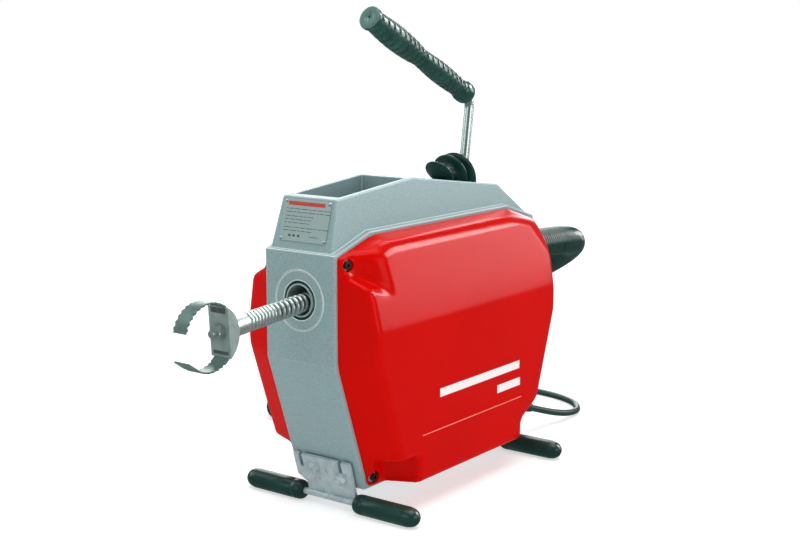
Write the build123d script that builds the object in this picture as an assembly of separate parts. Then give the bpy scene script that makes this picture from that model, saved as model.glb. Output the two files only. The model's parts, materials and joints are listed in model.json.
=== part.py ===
from build123d import *
from math import atan2, cos, degrees, hypot, pi, radians, sin, tan
import os

# Sectional drain cleaning machine: a cast frame with two side covers, a belt driven
# hollow spindle with a three-jaw clutch, the hand lever that closes it, a spiral with a
# claw cutter, two foot bars, the guide hose and the mains lead.
# Millimetres.  While it is drawn, y = 0 is the front panel, x = 0 the middle plane and
# z = 0 the bottom of the frame; save() moves it all so that the origin lies on the
# floor under the middle of the machine.

os.makedirs("parts", exist_ok=True)

# ---------------------------------------------------------------- driving dimensions
FRAME_LENGTH = 410.0
FRAME_HALF = 50.0            # half the frame's width
FRAME_WALL = 9.0
FRAME_FOOT_Y = 52.0          # where the bottom starts, front and rear
FRAME_SHOULDER_Z = 153.0     # where the sloped lower panels meet the upright ones
FRAME_EAVES_Z = 277.0
FRAME_TOP_Y = 64.0
FRAME_TOP_Z = 297.0
ROOF_RIDGE_Y = (150.0, 163.0)
ROOF_RIDGE_Z = 346.5

FLOOR_Z = -29.3              # the floor, below the frame
FRONT_Y = -187.5             # tip of the cutter
REAR_Y = 440.0               # end of the hose socket
ROW_SHIFT = (0, -(FRONT_Y + REAR_Y) / 2, -FLOOR_Z)

SPINDLE_Z = 222.9
SPINDLE_BORE_R = 17.3
SPINDLE_R = 20.0
SPINDLE_NOSE_R = 19.0
BEARING_R = 34.0
BEARING_WIDTH = 15.0
FRONT_BEARING_Y = 12.0
REAR_BEARING_Y = FRAME_LENGTH - FRONT_BEARING_Y - BEARING_WIDTH

CLUTCH_STROKE = 18.9         # travel of the pressure sleeve
JAW_STROKE = 4.2
JAW_Y = (38.3, 71.7)
JAW_FRONT_R = 21.5
CLUTCH_SLOPE = JAW_STROKE / CLUTCH_STROKE
GAP = 0.3
JAW_HALF = 6.0
RELEASE_Y = 267.0

LEVER_PIVOT = (0, 271.2, 300.0)
LEVER_ROD_R = 6.0
LEVER_KNEE = (0, 320.0, 342.0)      # a bend inside the boot
LEVER_CORNER = (0, 333.9, 431.2)
LEVER_END = (0, 127.0, 530.0)
LEVER_BEND_R = 20.0
FORK_R = 61.0                # from the pivot to the fork's pads
FORK_START = 9.0             # degrees; the fork swings from -9 to +9 about upright
FORK_X = 30.0

PULLEY_Y = (325.0, 345.0)
SPINDLE_PULLEY_R = 60.0
MOTOR_PULLEY_R = 14.0
BELT_THICKNESS = 3.5
MOTOR_Z = 88.0
MOTOR_R = 60.0
MOTOR_Y = (128.0, 268.0)
MOTOR_SHAFT_R = 8.0

SPIRAL_R = 11.0
SPIRAL_WIRE_R = 2.3
SPIRAL_CROSS_Y = 55.0        # where the spiral's axis crosses the spindle's
SPIRAL_DROOP = 4.0           # degrees below level
SPIRAL_TAIL = 45.0           # behind the crossing point
SPIRAL_FRONT = 145.0         # in front of it, to the coupling
COUPLING_LENGTH = 20.0
PIN_TURN = -40.0             # where the coupling pin sits, round from straight down
CUTTER_HEAD = 182.0          # the head's front face, from the crossing point
CUTTER_RING_R = 36.0
BLADE_WIDTH = 21.0
BLADE_THICKNESS = 2.0

COVER_SEAM = 4.5             # the cover's edge, in from the frame's outline
COVER_X = 96.0
COVER_WALL = 3.0
COVER_CREASE_Z = 194.5
SCREW_SINK_R = 7.0
SCREW_SEAT_X = 52.0

FOOT_ROD = (50.0, -17.6)     # y, z of the foot bar
FOOT_ROD_R = 4.0
FOOT_GRIP_R = 11.7
FOOT_GRIP_X = (38.0, 127.0)
FOOT_PLATE_THICKNESS = 4.0
FOOT_STANDOFF = 2.0

HOSE_R = 20.5
CORD_R = 4.5
COIL_CENTRE = (-205.0, 545.0)
COIL_R = 50.0
COIL_TURNS_WIDE = 3

HOSE_ROUTE = [
    (0, 440, 222.9), (0, 508, 222.9), (-7, 603, 216), (-48, 689, 194), (-116, 749, 157),
    (-200, 773, 113), (-285, 756, 67), (-356, 702, 27), (-402, 620, 2), (-414, 523, -8.8),
    (-395, 437, -8.8), (-356, 369, -8.8), (-308, 307, -8.8),
]
CORD_ROUTE = [
    (35, 434, 8.5), (36, 462, -1), (38, 497, -12.5), (40, 532, -21), (36, 566, -24.8),
    (16, 594, -24.8), (-16, 611, -24.8), (-50, 618, -24.8), (-84, 620, -24.8),
    (-116, 612, -24.8), (-140, 592, -24.8), (-150, 565, -24.8),
]

FOOT = (Align.CENTER, Align.CENTER, Align.MIN)     # a cylinder or cone standing on its base

# ------------------------------------------------------------------------- helpers


def save(name, shape):
    """Write one node, moved to the row's frame."""
    shape = Pos(*ROW_SHIFT) * shape
    shape.label = name
    export_step(shape, f"parts/{name}.step")


def block(x, y, z):
    """A box from its (low, high) pairs."""
    size = [pair[1] - pair[0] for pair in (x, y, z)]
    middle = [(pair[1] + pair[0]) / 2 for pair in (x, y, z)]
    return Pos(*middle) * Box(*size)


def rod_y(radius, start, end, x=0.0, z=SPINDLE_Z):
    """A cylinder along Y."""
    return Pos(x, (start + end) / 2, z) * Rot(90, 0, 0) * Cylinder(radius, end - start)


def ring_y(outer, inner, start, end, x=0.0, z=SPINDLE_Z):
    return rod_y(outer, start, end, x, z) - rod_y(inner, start - 1, end + 1, x, z)


def rod_x(radius, start, end, y, z):
    """A cylinder along X."""
    return Pos((start + end) / 2, y, z) * Rot(0, 90, 0) * Cylinder(radius, end - start)


def rod_between(radius, start, end):
    """A cylinder between two points."""
    start, end = Vector(*start), Vector(*end)
    place = Plane(origin=(start + end) / 2, z_dir=end - start)
    return place * Cylinder(radius, (end - start).length)


def side_face(points, x=0.0):
    """A face in the YZ plane, at x, from (y, z) points."""
    return Plane.YZ.offset(x) * make_face(Polyline(*points, close=True))


def side_prism(points, x_low, x_high):
    return extrude(side_face(points, x_low), x_high - x_low)


def mirrored(points):
    """Points of a front outline carried on to the rear one."""
    return points + [(FRAME_LENGTH - y, z) for y, z in reversed(points)]


def rear(shape):
    """The front piece's twin at the rear."""
    return mirror(shape, Plane.XZ.offset(-FRAME_LENGTH / 2))


def trim(shape, origin, normal):
    """Cut away what lies beyond a plane."""
    reach = 2000
    beyond = Plane(origin=origin, z_dir=normal) * Pos(0, 0, reach / 2)
    return shape - beyond * Box(reach, reach, reach)


def revolve_y(profile):
    """Turn a (y, radius) outline about the spindle's axis."""
    points = [(0, y, SPINDLE_Z + r) for y, r in profile]
    face = make_face(Polyline(*points, close=True))
    return revolve(face, Axis((0, 0, SPINDLE_Z), (0, 1, 0)))


def round_edges(shape, edges, radius):
    """Round edges one radius down at a time until the kernel can do it."""
    for part in (1.0, 0.7, 0.45):
        try:
            return fillet(edges, radius * part)
        except ValueError:
            continue
    return shape


# --------------------------------------------------------------------------- frame
FRAME_OUTLINE = mirrored([
    (FRAME_FOOT_Y, 0), (0, FRAME_SHOULDER_Z), (0, FRAME_EAVES_Z), (FRAME_TOP_Y, FRAME_TOP_Z),
])
FRONT_SLOPE = Vector(0, -FRAME_FOOT_Y, FRAME_SHOULDER_Z).normalized()      # up the front panel
FRONT_NORMAL = Vector(0, -FRAME_SHOULDER_Z, -FRAME_FOOT_Y).normalized()    # out of it


def frame_ring():
    """The cast ring: front, rear, floor and top walls, open at both sides."""
    outer = side_face(FRAME_OUTLINE, -FRAME_HALF)
    inner = offset(outer, -FRAME_WALL, kind=Kind.INTERSECTION)
    ring = extrude(outer, 2 * FRAME_HALF)
    rims = ring.faces().filter_by(Axis.X)
    ring = round_edges(ring, ShapeList(e for f in rims for e in f.edges()), 2.5)
    return ring - extrude(inner, 2 * FRAME_HALF)


def roof_half_width(z, wall=0.0):
    """Half the upper housing's width: its sides lean in."""
    return 44.2 - 0.0956 * (z - 278.5) - wall


def roof_wedge(z_low, z_high, wall=0.0, y_low=0.0, y_high=FRAME_LENGTH):
    """A prism along Y with the roof's leaning sides."""
    low, high = roof_half_width(z_low, wall), roof_half_width(z_high, wall)
    corners = [(-low, z_low), (low, z_low), (high, z_high), (-high, z_high)]
    section = Polyline(*[(x, y_low, z) for x, z in corners], close=True)
    return extrude(make_face(section), y_high - y_low, dir=(0, 1, 0))


def roof():
    """The upper housing: nameplate wedge, tool tray and the lever's chamber."""
    profile = [
        (3.3, 273), (3.3, 278.5), (19.3, 335), (ROOF_RIDGE_Y[0], ROOF_RIDGE_Z),
        (ROOF_RIDGE_Y[1], ROOF_RIDGE_Z), (337, 323.5), (407, 276), (407, 273), (346, 292), (64, 292),
    ]
    chamber = [(163, 250), (163, 340), (334, 317), (392, 277), (392, 250)]
    tray = [(31, 296), (31, 360), (154, 360), (150, 296)]
    tray_half = roof_half_width(ROOF_RIDGE_Z, 5.5)
    outer = side_prism(profile, -60, 60) & roof_wedge(262, 352)
    outer = round_edges(outer, outer.edges().filter_by(lambda e: e.center().Z > 300), 2.0)
    hollow = side_prism(chamber, -60, 60) & roof_wedge(240, 352, 6.0)
    pocket = side_prism(tray, -tray_half, tray_half)
    return outer - hollow - pocket


def bearing_boss():
    """The front wall's boss around the spindle, with its bearing seat."""
    return rod_y(41, 4, 31), rod_y(BEARING_R, FRONT_BEARING_Y, 40) + rod_y(22.3, -5, 40)


def frame():
    shape = frame_ring() + roof()
    for place in (lambda s: s, rear):
        boss, seat = bearing_boss()
        shape = shape + place(boss)
        shape = shape - place(seat)
    shape = shape - block((-36, 36), (172, 333), (270, 300))
    for side in (-1, 1):
        lug = rod_x(12, *sorted((side * 34.2, side * 39.5)), *LEVER_PIVOT[1:])
        shape = shape + lug
    shape = shape - rod_x(LEVER_ROD_R, -39.5, 39.5, *LEVER_PIVOT[1:])
    shape = shape - block((-10, 10), (266, 318), (312, 352))
    emboss = ring_y(34.6, 33.4, -0.6, 2)
    return shape + emboss


# -------------------------------------------------------------------------- covers
# (a point on the face, its outward normal) of the right-hand cover's faces; a face that
# leans towards the front has a twin at the rear
COVER_FACES = [
    ((COVER_X, 0, 0), (1, 0, 0)),
    ((95, 0, COVER_CREASE_Z), (0.98, 0, 0.199)),
    ((77, 0, 283), (0.332, 0, 0.943)),
    ((50, 0, COVER_SEAM), (0, 0, -1)),
    ((50, COVER_SEAM, 200), (0.297, -0.955, 0)),
    ((50, COVER_SEAM, 153), (0.3325, -0.890, -0.311)),
    ((50, 56, COVER_SEAM), (0.634, -0.670, -0.386)),
    ((50, COVER_SEAM, 274), (0.30, -0.274, 0.914)),
]
REAR_CORNER = ((50, FRAME_LENGTH - COVER_SEAM, 274), (0.65, 0.5, 0.573))
RECESS_LEDGE = ((60, 7, 254), (0.35, 0.196, 0.917))


def cover_body(inset):
    """The bulge of the right-hand cover, its faces moved in by inset."""
    shape = block((FRAME_HALF, COVER_X + 5), (0, FRAME_LENGTH), (0, 310))
    for origin, normal in COVER_FACES:
        direction = Vector(*normal).normalized()
        point = Vector(*origin) - direction * inset
        shape = trim(shape, point, direction)
        if normal[1]:
            twin = Vector(direction.X, -direction.Y, direction.Z)
            shape = trim(shape, Vector(point.X, FRAME_LENGTH - point.Y, point.Z), twin)
    corner, normal = REAR_CORNER
    direction = Vector(*normal).normalized()
    return trim(shape, Vector(*corner) - direction * inset, direction)


def corner_recess(grow=0.0):
    """The stepped-back corner around the upper front screw."""
    points = [(57.5 - grow, -5), (57.5 - grow, 20), (80, 50), (105, 64), (105, -5)]
    face = make_face(Polyline(*[(x, y + grow, 215) for x, y in points], close=True))
    origin, normal = RECESS_LEDGE
    upward = Vector(*normal).normalized()
    return trim(extrude(face, 100, dir=(0, 0, 1)), Vector(*origin) - upward * grow, -upward)


def cover():
    """The right-hand cover: a moulded shell, open towards the frame, its screws sunk in."""
    outer = cover_body(0.0) - corner_recess()
    inner = cover_body(COVER_WALL) - corner_recess(COVER_WALL)
    shape = outer - inner
    for y, z in cover_screw_places():
        boss = rod_x(SCREW_SINK_R + 2.5, FRAME_HALF, 90, y, z) & outer
        shape = shape + boss
        shape = shape - rod_x(SCREW_SINK_R, SCREW_SEAT_X, 100, y, z) - rod_x(2.6, 45, 60, y, z)
    return shape


def cover_screw_places():
    front = [(15.2, 265.6), (60.7, 14.6)]
    return front + [(FRAME_LENGTH - y, z) for y, z in front]


def socket_screw(y, z):
    """A socket head screw along X on its washer, its head outwards."""
    head_x = SCREW_SEAT_X + 1
    head = rod_x(4.4, head_x, head_x + 4.5, y, z) - rod_x(2, head_x + 2, head_x + 5, y, z)
    return head + rod_x(2.5, head_x - 11, head_x, y, z)


def build_covers():
    right = cover()
    save("cover_right", right)
    save("cover_left", mirror(right, Plane.YZ))
    screws, washers = [], []
    for y, z in cover_screw_places():
        screw = socket_screw(y, z)
        washer = rod_x(6.4, SCREW_SEAT_X, SCREW_SEAT_X + 1, y, z) - rod_x(2.7, 50, 60, y, z)
        screws += [screw, mirror(screw, Plane.YZ)]
        washers += [washer, mirror(washer, Plane.YZ)]
    save("cover_screws", Compound(children=screws))
    save("cover_washers", Compound(children=washers))


# ----------------------------------------------------------------- spindle and drive
def bearing(start):
    """Outer ring, inner ring and balls of one deep-groove bearing."""
    middle = start + BEARING_WIDTH / 2
    groove = Pos(0, middle, SPINDLE_Z) * Rot(90, 0, 0) * Torus(27, 4.3)
    outer = ring_y(BEARING_R, 30, start, start + BEARING_WIDTH) - groove
    inner = ring_y(24, SPINDLE_R, start, start + BEARING_WIDTH) - groove
    balls = []
    for index in range(12):
        angle = radians(30 * index)
        balls.append(Pos(27 * sin(angle), middle, SPINDLE_Z + 27 * cos(angle)) * Sphere(4.2))
    return outer, inner, balls


def build_bearings():
    outers, inners, balls = [], [], []
    for start in (FRONT_BEARING_Y, REAR_BEARING_Y):
        outer, inner, set_of_balls = bearing(start)
        outers.append(outer)
        inners.append(inner)
        balls += set_of_balls
    save("bearing_outer_rings", Compound(children=outers))
    save("bearing_inner_rings", Compound(children=inners))
    save("bearing_balls", Compound(children=balls))


def around_spindle(shape, degrees_round):
    """Turn a shape about the spindle's axis."""
    return Pos(0, 0, SPINDLE_Z) * Rot(0, degrees_round, 0) * Pos(0, 0, -SPINDLE_Z) * shape


def build_spindle():
    ends = (-0.5, FRAME_LENGTH + 0.5)
    tube = rod_y(SPINDLE_NOSE_R, *ends)
    tube = tube + rod_y(SPINDLE_R, FRONT_BEARING_Y - 0.5, REAR_BEARING_Y + BEARING_WIDTH + 0.5)
    tube = tube - rod_y(SPINDLE_BORE_R, ends[0] - 1, ends[1] + 1)
    window = block((-JAW_HALF - GAP, JAW_HALF + GAP), (JAW_Y[0] - GAP, JAW_Y[1] + GAP),
                   (SPINDLE_Z + 12, SPINDLE_Z + 25))
    for turn in (0, 120, 240):
        tube = tube - around_spindle(window, turn)
    key = block((-3, 3), (125, 155), (SPINDLE_Z + 18.4, SPINDLE_Z + 22.6))
    tube = tube - key
    save("spindle", tube)
    save("sleeve_key", key)


def build_jaws():
    start, end = JAW_Y
    rise = CLUTCH_SLOPE * (end - start)
    cone = revolve_y([(start, 17.4), (start, JAW_FRONT_R), (end, JAW_FRONT_R + rise), (end, 17.4)])
    jaw = cone & block((-JAW_HALF, JAW_HALF), (start - 1, end + 1), (SPINDLE_Z, SPINDLE_Z + 60))
    for turn in range(4):
        groove_y = start + 5 + 8 * turn
        jaw = jaw - block((-JAW_HALF - 1, JAW_HALF + 1), (groove_y, groove_y + 2),
                          (SPINDLE_Z, SPINDLE_Z + 17.9))
    for index, turn in enumerate((0, 120, 240)):
        save(f"clutch_jaw_{index + 1}", around_spindle(jaw, turn))


def build_clutch():
    y0, y1 = 36.0, 74.0
    r0 = JAW_FRONT_R + GAP + CLUTCH_SLOPE * (y0 - JAW_Y[0])
    r1 = JAW_FRONT_R + GAP + CLUTCH_SLOPE * (y1 - JAW_Y[0])
    bore = SPINDLE_R + GAP
    flange = RELEASE_Y + 13.6
    sleeve = revolve_y([
        (y0, r0), (y0, r0 + 3), (y0 + 12, 34), (80, 34), (88, 25), (flange, 25), (flange, 34),
        (flange + 4, 34), (flange + 4, bore), (y1 + 2, bore), (y1 + 2, r1), (y1, r1),
    ])
    keyway = block((-3.2, 3.2), (125 - CLUTCH_STROKE - 1, 156), (SPINDLE_Z, SPINDLE_Z + 23))
    save("pressure_sleeve", sleeve - keyway)
    save("release_ring", ring_y(36, 25.4, RELEASE_Y, RELEASE_Y + 9))
    save("thrust_bearing", ring_y(33, 25.4, RELEASE_Y + 9.3, RELEASE_Y + 13.3))
    turns = []
    for index in range(5):
        y = flange + 6.5 + 6.4 * index
        turns.append(Pos(0, y, SPINDLE_Z) * Rot(90, 0, 0) * Torus(23.2, 1.8))
    save("clutch_spring", Compound(children=turns))


def pulley(radius, flange, hub, bore, hub_y, z):
    """A flat belt pulley with two flanges, on a hub."""
    shape = rod_y(radius, *PULLEY_Y, z=z)
    for start in (PULLEY_Y[0], PULLEY_Y[1] - 2):
        shape = shape + rod_y(flange, start, start + 2, z=z)
    shape = shape + rod_y(hub, *hub_y, z=z)
    return shape - rod_y(bore, PULLEY_Y[0] - 40, PULLEY_Y[1] + 40, z=z)


def build_belt_drive():
    big = pulley(SPINDLE_PULLEY_R, 63, 28, SPINDLE_R, (320, 352), SPINDLE_Z)
    for groove in ((PULLEY_Y[0] - 1, PULLEY_Y[0] + 6), (PULLEY_Y[1] - 6, PULLEY_Y[1] + 1)):
        big = big - ring_y(52, 34, *groove)
    save("spindle_pulley", big)
    small = pulley(MOTOR_PULLEY_R, 17, 12, MOTOR_SHAFT_R, (320, 346), MOTOR_Z)
    save("motor_pulley", small)
    faces = []
    for grow in (GAP, GAP + BELT_THICKNESS):
        big_circle = Pos(0, SPINDLE_Z) * Circle(SPINDLE_PULLEY_R + grow)
        small_circle = Pos(0, MOTOR_Z) * Circle(MOTOR_PULLEY_R + grow)
        faces.append(make_hull(big_circle.edges() + small_circle.edges()))
    flat = faces[1] - faces[0]
    belt = extrude(Plane.XZ.offset(-PULLEY_Y[1] + 2.5) * flat, 15)
    save("drive_belt", belt)


def build_motor():
    y0, y1 = MOTOR_Y
    can = ring_y(MOTOR_R, MOTOR_R - 4, y0, y1, z=MOTOR_Z)
    for index in range(24):
        rib = block((-1, 1), (y0 + 8, y1 - 8), (MOTOR_Z + MOTOR_R - 1, MOTOR_Z + MOTOR_R + 2))
        if not 9 <= index <= 15:
            can = can + Pos(0, 0, MOTOR_Z) * Rot(0, 15 * index, 0) * Pos(0, 0, -MOTOR_Z) * rib
    save("motor_housing", can)
    save("motor_stator", ring_y(MOTOR_R - 4, 31, 156, 240, z=MOTOR_Z))
    shields = [ring_y(MOTOR_R, 16, start, start + 12, z=MOTOR_Z) for start in (y0 - 12, y1)]
    save("motor_end_shields", Compound(children=shields))
    bushes = [ring_y(16, MOTOR_SHAFT_R + 0.05, s, s + 12, z=MOTOR_Z) for s in (y0 - 12, y1)]
    save("motor_bearings", Compound(children=bushes))
    core = ring_y(30.5, MOTOR_SHAFT_R, 156, 240, z=MOTOR_Z)
    save("motor_rotor", Compound(children=[core, rod_y(MOTOR_SHAFT_R, 96, 348, z=MOTOR_Z)]))
    fan = ring_y(15, MOTOR_SHAFT_R, 98, 114, z=MOTOR_Z)
    for index in range(9):
        blade = block((-1, 1), (98, 112), (MOTOR_Z + 14, MOTOR_Z + 42))
        fan = fan + Pos(0, 0, MOTOR_Z) * Rot(0, 40 * index, 0) * Pos(0, 0, -MOTOR_Z) * blade
    save("cooling_fan", fan)
    cradle = block((-38, 38), (150, 246), (FRAME_WALL, 42)) - rod_y(MOTOR_R, 140, 260, z=MOTOR_Z)
    save("motor_cradle", cradle)
    build_capacitor()


def build_capacitor():
    """The motor's capacitor, lying in a saddle on the motor's shoulder."""
    reach, lean, radius = MOTOR_R + 18, radians(50), 15.0
    x, z = reach * cos(lean), MOTOR_Z + reach * sin(lean)
    can = rod_y(radius, 160, 234, x, z)
    save("motor_capacitor", round_edges(can, can.edges(), 2))


# --------------------------------------------------------------------------- lever
def build_lever():
    pivot = Vector(*LEVER_PIVOT)
    knee, corner, end = Vector(*LEVER_KNEE), Vector(*LEVER_CORNER), Vector(*LEVER_END)
    along = (knee - pivot).normalized()
    back = (end - corner).normalized()
    route = FilletPolyline(pivot + along * 9, knee, corner, end - back * 14, radius=LEVER_BEND_R)
    start = Plane(origin=pivot + along * 9, z_dir=along)
    bar = sweep(start * Circle(LEVER_ROD_R), path=route)
    save("lever_rod", bar)
    hub = rod_x(14, -FORK_X - 3, FORK_X + 3, *LEVER_PIVOT[1:])
    hub = hub - rod_x(LEVER_ROD_R + 0.05, -50, 50, *LEVER_PIVOT[1:])
    hub = hub - rod_between(LEVER_ROD_R, pivot + along * 9, pivot + along * 40)
    lean = radians(FORK_START)
    tip = (LEVER_PIVOT[1] - FORK_R * sin(lean), LEVER_PIVOT[2] - FORK_R * cos(lean))
    for side in (-1, 1):
        inner, outer = sorted((side * (FORK_X - 3), side * (FORK_X + 3)))
        middle = Pos((inner + outer) / 2, (LEVER_PIVOT[1] + tip[0]) / 2, (LEVER_PIVOT[2] + tip[1]) / 2)
        arm = middle * Rot(-FORK_START, 0, 0) * Box(6, 8, FORK_R)
        arm = arm - rod_x(LEVER_ROD_R + 3, -50, 50, *LEVER_PIVOT[1:])
        hub = hub + arm + rod_x(5, inner, outer, *tip)
    save("lever_fork", hub)
    save("lever_pivot_pin", rod_x(LEVER_ROD_R, -39.5, 39.5, *LEVER_PIVOT[1:]))
    save("lever_grip", grip(end, corner))


# (distance from the free end, radius) of the two-lobed hand grip
GRIP_PROFILE = [
    (0, 12.5), (2, 14.5), (5, 14.5), (8, 12.6), (25, 14.2), (50, 15.4), (78, 14.2),
    (102, 11.4), (124, 12.9), (146, 13.6), (170, 12.8), (190, 11.6), (193, 13.9),
    (203, 14.2), (208, 12.4), (209.5, 8.5),
]


def grip(end, corner):
    """The rubber grip over the lever's upper arm."""
    back = (end - corner).normalized()
    place = Plane(origin=end, x_dir=(1, 0, 0), z_dir=-back)
    outline = [(0, 0)] + [(r, d) for d, r in GRIP_PROFILE] + [(0, GRIP_PROFILE[-1][0])]
    face = make_face(Polyline(*[(x, 0, z) for x, z in outline], close=True))
    body = revolve(face, Axis.Z)
    body = body - Pos(0, 0, 14 + 150) * Cylinder(LEVER_ROD_R, 300)
    body = body - Cylinder(1.5, 20)
    return place * body


# (y, z, radius, lean of the pleat's normal from upright in degrees)
BELLOWS_PLEATS = [(268, 341, 20, 50), (291, 338, 26, 68), (303, 333, 31, 84)]


def build_bellows():
    """The rubber boot where the lever leaves the roof, plain pleats."""
    boot = None
    for y, z, radius, lean in BELLOWS_PLEATS:
        disc = Pos(0, y, z) * Rot(-lean, 0, 0) * Cylinder(radius, 9)
        disc = round_edges(disc, disc.edges(), 3.5)
        boot = disc if boot is None else boot + disc
    boot = boot + rod_between(14, (0, 262, 336), (0, 318, 334))
    boot = boot - side_prism([(200, 300), (200, 341.6), (360, 320.5), (360, 300)], -60, 60)
    hole = LEVER_ROD_R + GAP
    boot = boot - rod_between(hole, LEVER_PIVOT, LEVER_KNEE) - rod_between(hole, LEVER_KNEE, LEVER_CORNER)
    save("lever_bellows", boot - Pos(*LEVER_KNEE) * Sphere(hole + 3))


# ------------------------------------------------------------------ spiral and cutter
def on_spiral(shape):
    """Carry a shape drawn along -Y from the origin to the drooping spiral's axis."""
    return Pos(0, SPIRAL_CROSS_Y, SPINDLE_Z) * Rot(SPIRAL_DROOP, 0, 0) * shape


def axle(radius, start, end):
    """A cylinder along the spiral, from start to end in front of the crossing point."""
    return rod_y(radius, -end, -start, z=0)


def blade_strip(first, last, tip_length):
    """A bent strip of the claw: an arc from first to last degrees, then a straight tip."""
    centre = -(CUTTER_HEAD + 22)
    mid = (first + last) / 2
    r = CUTTER_RING_R
    at = lambda a: (0, centre + r * cos(radians(a)), r * sin(radians(a)))
    arc = ThreePointArc(at(first), at(mid), at(last))
    sense = 1 if last > first else -1
    onward = Vector(0, -sense * sin(radians(last)), sense * cos(radians(last)))
    tip = Vector(*at(last)) + onward * tip_length
    path = Wire([arc, Line(at(last), tip)])
    start_dir = Vector(0, -sense * sin(radians(first)), sense * cos(radians(first)))
    plane = Plane(origin=at(first), x_dir=(1, 0, 0), z_dir=start_dir)
    section = plane * Rectangle(BLADE_WIDTH, BLADE_THICKNESS)
    return sweep(section, path=path, transition=Transition.RIGHT)


def build_spiral():
    coil_end = SPIRAL_FRONT
    inner = SPIRAL_R - 2 * SPIRAL_WIRE_R
    coil = axle(SPIRAL_R, -SPIRAL_TAIL, coil_end) - axle(inner, -SPIRAL_TAIL - 1, coil_end + 1)
    pitch = 9.6
    for index in range(9):
        start = coil_end - 52 - pitch * (index + 1)
        gap = axle(SPIRAL_R + 1, start, start + 4.6) - axle(SPIRAL_R - 2, start - 1, start + 6)
        coil = coil - gap
    save("spiral_coil", on_spiral(coil))
    save("spiral_core", on_spiral(axle(inner - 0.3, -SPIRAL_TAIL - 4, coil_end - 0.3)))
    sleeve_end = coil_end + COUPLING_LENGTH
    sleeve = axle(SPIRAL_R, coil_end, sleeve_end)
    pin_y = coil_end + 14
    pin_hole = Pos(0, -pin_y, 0) * Rot(0, PIN_TURN, 0) * Pos(0, 0, -SPIRAL_R) * Cylinder(2.3, 14)
    socket = axle(8.2, coil_end + 6, sleeve_end + 1)
    save("spiral_coupling", on_spiral(sleeve - pin_hole - socket))
    pin = Pos(0, -pin_y, 0) * Rot(0, PIN_TURN, 0) * Pos(0, 0, -SPIRAL_R + 2.6) * Cylinder(2.0, 5.2)
    save("coupling_pin", on_spiral(pin))
    shank = axle(8.2, coil_end + 6, sleeve_end) + axle(SPIRAL_R - 1, sleeve_end, sleeve_end + 14)
    slot = Pos(0, -pin_y, 0) * Rot(0, PIN_TURN, 0) * Pos(0, 0, -6) * Cylinder(2.3, 9)
    head = cutter_head()
    save("cutter_shank", on_spiral(shank - slot - head))
    blades = {
        "cutter_blade_upper": blade_strip(48, 158, 1.5),
        "cutter_blade_lower": blade_strip(-38, -128, 16),
    }
    for name, strip in blades.items():
        head = head - strip
        save(name, on_spiral(strip))
    bolt = axle(4, CUTTER_HEAD, CUTTER_HEAD + 13)
    nut = axle(9, CUTTER_HEAD, CUTTER_HEAD + 1.6) - axle(4, 0, 300)
    hexagon = Plane.XZ.offset(CUTTER_HEAD + 1.6) * RegularPolygon(8, 6)
    nut_hex = extrude(hexagon, 6.5) - axle(4, 0, 300)
    save("cutter_head", on_spiral(head))
    save("cutter_bolt", on_spiral(Compound(children=[bolt, nut + nut_hex])))


def cutter_head():
    """The half-moon block that holds the two blades."""
    half = 27.3
    front = -CUTTER_HEAD
    arc = ThreePointArc((0, front, half), (0, front + 15.5, 0), (0, front, -half))
    face = make_face(Wire([arc, Line((0, front, -half), (0, front, half))]))
    return Pos(-14, 0, 0) * extrude(face, 28, dir=(1, 0, 0))


# ---------------------------------------------------------------------------- feet
def on_front_panel(shape):
    """Carry a shape drawn with X across, Y up the panel and Z out of it."""
    plane = Plane(origin=(0, FRAME_FOOT_Y, 0), x_dir=(1, 0, 0), z_dir=FRONT_NORMAL)
    return plane * shape


# (across, up the panel, how far the screw stands out of the plate)
FOOT_SCREWS = [(-15, 22, 16), (24, 14, 11)]


def foot_plate():
    rod = Vector(0, *FOOT_ROD) - Vector(0, FRAME_FOOT_Y, 0)
    low = rod.dot(FRONT_SLOPE)
    outline = [
        (-43, 36), (-36, 36), (-36, 18.5), (-31, 18.5), (-31, 36), (22, 36), (22, 21), (27, 21),
        (27, 36), (40, 36), (38.5, 0), (37.5, low), (-33, low), (-32, -2.4), (-44, 6.6),
    ]
    plate = make_face(Polyline(*outline, close=True))
    shape = Pos(0, 0, FOOT_STANDOFF) * extrude(plate, FOOT_PLATE_THICKNESS)
    shape = on_front_panel(shape)
    corners = shape.edges().filter_by(lambda e: abs(e.length - FOOT_PLATE_THICKNESS) < 0.01)
    shape = round_edges(shape, corners, 1.2)
    for x, up, _ in FOOT_SCREWS:
        shape = shape - on_front_panel(Pos(x, up, 6) * Cylinder(4, 30))
    return shape - rod_x(FOOT_ROD_R, -60, 60, *FOOT_ROD)


def foot_grip():
    start, end = FOOT_GRIP_X
    body = rod_x(FOOT_GRIP_R, start, end, *FOOT_ROD)
    body = fillet(body.edges().sort_by(Axis.X)[-1], FOOT_GRIP_R - 1.2)
    body = fillet(body.edges().sort_by(Axis.X)[0], 4)
    return body - rod_x(FOOT_ROD_R, start - 1, end - 12, *FOOT_ROD)


def foot_fasteners():
    """Both screws of one foot, each with a spacer behind the plate, a washer and a nut."""
    pieces = []
    top = FOOT_STANDOFF + FOOT_PLATE_THICKNESS
    for x, up, stand in FOOT_SCREWS:
        screw = Pos(x, up, (top + stand) / 2) * Cylinder(3.9, top + stand)
        washer = Pos(x, up, top + 0.8) * (Cylinder(8, 1.6) - Cylinder(4, 4))
        nut = Pos(x, up, top + 1.6) * (extrude(RegularPolygon(7, 6), 6) - Cylinder(4, 30))
        spacer = Pos(x, up, FOOT_STANDOFF / 2) * (Cylinder(8, FOOT_STANDOFF) - Cylinder(4, 4))
        pieces += [on_front_panel(piece) for piece in (screw, washer + nut, spacer)]
    return pieces


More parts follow.
